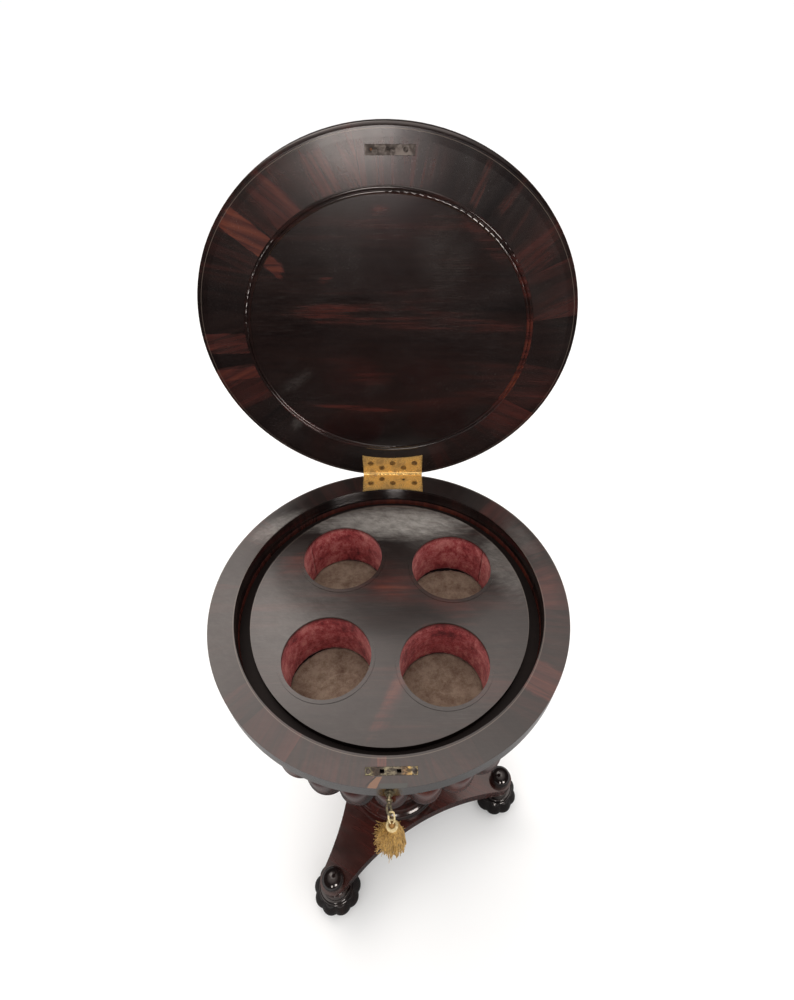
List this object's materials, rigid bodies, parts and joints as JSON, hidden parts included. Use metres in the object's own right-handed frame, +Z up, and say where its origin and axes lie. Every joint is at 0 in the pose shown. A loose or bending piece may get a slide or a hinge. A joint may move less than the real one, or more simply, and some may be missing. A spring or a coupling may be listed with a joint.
{
  "type": "teapoy",
  "caption": "Round rosewood teapoy: hinged lid over a recessed tray of velvet-lined wells, lobed bowl, turned column, concave-sided platform on lobed bun feet.",
  "frame": {"origin": "on the floor, under the middle of the whole piece's box with the lid open", "axes": "+Z up; -Y towards the front, where the lock and key are; +X to the right seen from the front"},
  "size_m": [0.4905, 0.4952, 1.2476],
  "materials": {
    "rosewood_turned": "french polish, nearly black, high gloss",
    "rosewood_band": "french polish, red-brown crossbanded veneer",
    "rosewood_panel": "french polish, straight-grained dark veneer",
    "carcass_wood": "plain mahogany, unpolished",
    "hinge_brass": "polished, a little tarnished",
    "worn_brass": "worn and stained",
    "lock_steel": "dull, stained",
    "key_metal": "dull, tarnished",
    "crimson_velvet": "worn crimson silk velvet",
    "brown_velvet": "faded velvet, worn to its backing",
    "gold_silk": "old-gold silk strands",
    "cream_cord": "twisted cream cord"
  },
  "bodies": {
    "stand": {"bowl_dish": "rosewood_turned", "box_floor": "carcass_wood", "bun_foot_back_left": "rosewood_turned", "bun_foot_front_left": "rosewood_turned", "bun_foot_right": "rosewood_turned", "capital_screws": "lock_steel", "column_capital": "rosewood_turned", "column_lobed_collar": "rosewood_turned", "column_shaft": "rosewood_turned", "column_socle": "rosewood_turned", "foot_dowels": "carcass_wood", "frieze_ring": "carcass_wood", "frieze_veneer": "rosewood_band", "hinge_leaf_rim": "hinge_brass", "hinge_pin": "hinge_brass", "hinge_screws_rim": "hinge_brass", "key_escutcheon": "worn_brass", "lobed_bowl_ring": "rosewood_turned", "lock_case": "lock_steel", "lock_screws": "lock_steel", "lock_selvage": "worn_brass", "platform_boss_back_left": "rosewood_turned", "platform_boss_front_left": "rosewood_turned", "platform_boss_right": "rosewood_turned", "platform_core": "carcass_wood", "platform_veneer": "rosewood_panel", "recess_lining": "rosewood_turned", "rim_crossband": "rosewood_band", "tray_board": "carcass_wood", "tray_veneer": "rosewood_panel", "velvet_floor_1": "brown_velvet", "velvet_floor_2": "brown_velvet", "velvet_floor_3": "brown_velvet", "velvet_floor_4": "brown_velvet", "velvet_wall_1": "crimson_velvet", "velvet_wall_2": "crimson_velvet", "velvet_wall_3": "crimson_velvet", "velvet_wall_4": "crimson_velvet", "well_deck": "carcass_wood", "well_lip_rings": "rosewood_turned", "well_tub_1": "carcass_wood", "well_tub_2": "carcass_wood", "well_tub_3": "carcass_wood", "well_tub_4": "carcass_wood"},
    "lid": {"lid_board": "carcass_wood", "lid_top_veneer": "rosewood_panel", "lid_edge_moulding": "rosewood_turned", "lid_crossband": "rosewood_band", "lid_panel": "rosewood_panel", "lid_bead": "rosewood_turned", "hinge_leaf_lid": "hinge_brass", "hinge_screws_lid": "hinge_brass", "link_plate": "lock_steel", "link_plate_screws": "lock_steel"},
    "key": {"key": "key_metal"},
    "lock_bolt": {"lock_bolt": "lock_steel"},
    "tassel_cord": {"tassel_cord": "cream_cord"},
    "tassel": {"tassel_knot": "cream_cord", "tassel_collar": "gold_silk", "tassel_skirt": "gold_silk"}
  },
  "joints": [
    {"name": "lid_hinge", "type": "hinge", "parent": "stand", "child": "lid", "pos_m": [-0.01965, 0.22082, 0.8], "axis": [1, 0, 0], "range_deg": [0, 90]},
    {"name": "key_turn", "type": "hinge", "parent": "stand", "child": "key", "pos_m": [-0.02275, -0.22018, 0.7885], "axis": [0, -1, 0], "range_deg": [0, 90]},
    {"name": "bolt_slide", "type": "slide", "parent": "stand", "child": "lock_bolt", "axis": [1, 0, 0], "range_m": [0, 0.006]},
    {"name": "tassel_plumb", "type": "hinge", "parent": "key", "child": "tassel_cord", "pos_m": [-0.02078, -0.23538, 0.78479], "axis": [0, -1, 0], "range_deg": [-90, 0]},
    {"name": "tassel_swing", "type": "hinge", "parent": "tassel_cord", "child": "tassel", "pos_m": [-0.02078, -0.23538, 0.74079], "axis": [1, 0, 0], "range_deg": [-35, 8]}
  ],
  "couplings": [
    {"joint": "bolt_slide", "follows": "key_turn", "m_per_rad": 0.0038197},
    {"joint": "tassel_plumb", "follows": "key_turn", "ratio": -1}
  ]
}
